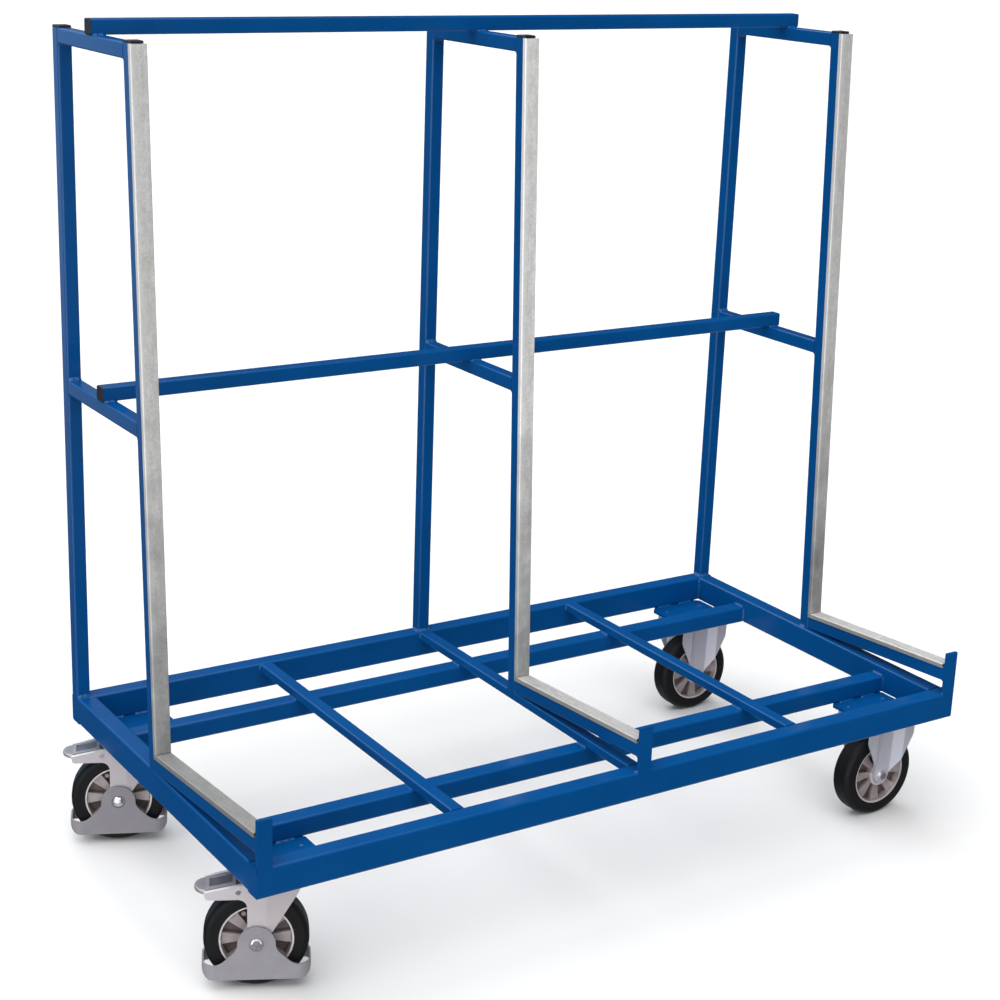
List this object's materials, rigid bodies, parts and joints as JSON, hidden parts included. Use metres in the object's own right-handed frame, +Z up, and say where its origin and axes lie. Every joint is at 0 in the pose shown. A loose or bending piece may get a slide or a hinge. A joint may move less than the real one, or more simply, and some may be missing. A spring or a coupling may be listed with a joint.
{
  "type": "panel trolley",
  "caption": "Welded steel panel trolley: tubular base frame on fixed and braked swivel casters, with leaning upright frames, sloping arms and end stops that hold panels on edge.",
  "frame": {"origin": "on the floor, in the middle of the overall length and width", "axes": "+X along the length towards the fixed casters, +Y to the rear posts, +Z up"},
  "size_m": [1.777, 0.91, 1.752],
  "materials": {
    "blue_paint": "powder coat",
    "galvanised_steel": "galvanised",
    "zinc_steel": "zinc plated",
    "bright_fasteners": "zinc plated",
    "bearing_steel": "ground",
    "cast_aluminium": "as cast",
    "rubber_tyre": "moulded rubber",
    "grey_plastic": "moulded",
    "pedal_steel": "zinc plated",
    "black_plastic": "moulded"
  },
  "bodies": {
    "frame": {"front_beam": "blue_paint", "rear_beam": "blue_paint", "left_end_beam": "blue_paint", "right_end_beam": "blue_paint", "beam_end_plates": "blue_paint", "cross_tubes": "blue_paint", "front_inner_rail": "blue_paint", "rear_inner_rail": "blue_paint", "caster_mount_plates": "blue_paint", "post_ties": "blue_paint", "front_stops": "blue_paint", "top_rail": "blue_paint", "middle_rail": "blue_paint", "tube_end_plugs": "black_plastic", "caster_screws": "bright_fasteners", "left_rear_post": "blue_paint", "left_lean_post": "blue_paint", "left_arm": "blue_paint", "left_lean_strip": "galvanised_steel", "left_arm_strip": "galvanised_steel", "middle_rear_post": "blue_paint", "middle_lean_post": "blue_paint", "middle_arm": "blue_paint", "middle_lean_strip": "galvanised_steel", "middle_arm_strip": "galvanised_steel", "right_rear_post": "blue_paint", "right_lean_post": "blue_paint", "right_arm": "blue_paint", "right_lean_strip": "galvanised_steel", "right_arm_strip": "galvanised_steel", "front_left_top_plate": "zinc_steel", "rear_left_top_plate": "zinc_steel", "front_right_bracket": "zinc_steel", "front_right_axle": "bright_fasteners", "rear_right_bracket": "zinc_steel", "rear_right_axle": "bright_fasteners"},
    "front_left_swivel": {"front_left_fork": "zinc_steel", "front_left_fork_pins": "bright_fasteners", "front_left_swivel_balls": "bearing_steel", "front_left_foot_guard": "grey_plastic"},
    "front_left_wheel": {"front_left_rim": "cast_aluminium", "front_left_tyre": "rubber_tyre", "front_left_bearings": "bearing_steel"},
    "front_left_pedal_lever": {"front_left_pedal": "pedal_steel"},
    "front_left_brake": {"front_left_brake_shoe": "zinc_steel"},
    "rear_left_swivel": {"rear_left_fork": "zinc_steel", "rear_left_fork_pins": "bright_fasteners", "rear_left_swivel_balls": "bearing_steel", "rear_left_foot_guard": "grey_plastic"},
    "rear_left_wheel": {"rear_left_rim": "cast_aluminium", "rear_left_tyre": "rubber_tyre", "rear_left_bearings": "bearing_steel"},
    "rear_left_pedal_lever": {"rear_left_pedal": "pedal_steel"},
    "rear_left_brake": {"rear_left_brake_shoe": "zinc_steel"},
    "front_right_wheel": {"front_right_rim": "cast_aluminium", "front_right_tyre": "rubber_tyre", "front_right_bearings": "bearing_steel"},
    "rear_right_wheel": {"rear_right_rim": "cast_aluminium", "rear_right_tyre": "rubber_tyre", "rear_right_bearings": "bearing_steel"}
  },
  "joints": [
    {"name": "front_left_swivel_turn", "type": "hinge", "parent": "frame", "child": "front_left_swivel", "pos_m": [-0.72899, -0.34, 0.23], "axis": [0, 0, 1], "continuous": true},
    {"name": "front_left_wheel_spin", "type": "hinge", "parent": "front_left_swivel", "child": "front_left_wheel", "pos_m": [-0.77842, -0.31589, 0.1], "axis": [0.4384, 0.8988, 0], "continuous": true},
    {"name": "front_left_pedal_press", "type": "hinge", "parent": "front_left_swivel", "child": "front_left_pedal_lever", "pos_m": [-0.80898, -0.30099, 0.207], "axis": [-0.4384, -0.8988, 0], "range_deg": [0, 12]},
    {"name": "front_left_shoe_press", "type": "hinge", "parent": "front_left_swivel", "child": "front_left_brake", "pos_m": [-0.76584, -0.32203, 0.211], "axis": [-0.4384, -0.8988, 0], "range_deg": [0, 1.8]},
    {"name": "rear_left_swivel_turn", "type": "hinge", "parent": "frame", "child": "rear_left_swivel", "pos_m": [-0.72899, 0.34, 0.23], "axis": [0, 0, 1], "continuous": true},
    {"name": "rear_left_wheel_spin", "type": "hinge", "parent": "rear_left_swivel", "child": "rear_left_wheel", "pos_m": [-0.77943, 0.36193, 0.1], "axis": [0.3987, 0.9171, 0], "continuous": true},
    {"name": "rear_left_pedal_press", "type": "hinge", "parent": "rear_left_swivel", "child": "rear_left_pedal_lever", "pos_m": [-0.81061, 0.37549, 0.207], "axis": [-0.3987, -0.9171, 0], "range_deg": [0, 12]},
    {"name": "rear_left_shoe_press", "type": "hinge", "parent": "rear_left_swivel", "child": "rear_left_brake", "pos_m": [-0.76659, 0.35635, 0.211], "axis": [-0.3987, -0.9171, 0], "range_deg": [0, 1.8]},
    {"name": "front_right_wheel_spin", "type": "hinge", "parent": "frame", "child": "front_right_wheel", "pos_m": [0.77101, -0.34, 0.1], "axis": [0, 1, 0], "continuous": true},
    {"name": "rear_right_wheel_spin", "type": "hinge", "parent": "frame", "child": "rear_right_wheel", "pos_m": [0.77101, 0.34, 0.1], "axis": [0, 1, 0], "continuous": true}
  ],
  "couplings": [
    {"joint": "front_left_shoe_press", "follows": "front_left_pedal_press", "ratio": 0.15},
    {"joint": "rear_left_shoe_press", "follows": "rear_left_pedal_press", "ratio": 0.15}
  ]
}
